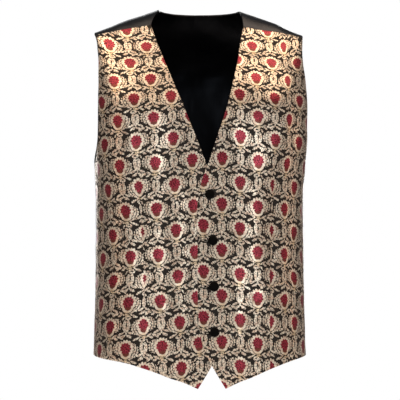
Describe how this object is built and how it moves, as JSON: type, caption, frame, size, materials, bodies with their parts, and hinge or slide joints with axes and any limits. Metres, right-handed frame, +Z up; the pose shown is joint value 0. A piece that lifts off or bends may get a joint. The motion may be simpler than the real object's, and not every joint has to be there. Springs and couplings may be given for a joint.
{
  "type": "waistcoat",
  "caption": "Single-breasted V-neck waistcoat with floral brocade fronts, two welt pockets, covered buttons and a plain satin back, filled out as if worn.",
  "frame": {"origin": "midway between the shoulders, level with the points where neck meets shoulder, where the wearer holds it up", "axes": "+Z up along the body, -Y out of the front, +X towards the wearer's left"},
  "size_m": [0.351, 0.2286, 0.6164],
  "materials": {
    "floral_brocade": "woven floral brocade with a satin sheen",
    "black_satin": "satin",
    "black_lining_satin": "satin",
    "button_cloth": "matte woven cloth over a dome"
  },
  "bodies": {
    "root": {"front_left": "floral_brocade", "front_right": "floral_brocade", "back_left": "black_satin", "back_right": "black_satin", "back_lining": "black_lining_satin", "welt_left": "floral_brocade", "welt_right": "floral_brocade", "button_1": "button_cloth", "button_2": "button_cloth", "button_3": "button_cloth", "button_4": "button_cloth"}
  },
  "joints": []
}
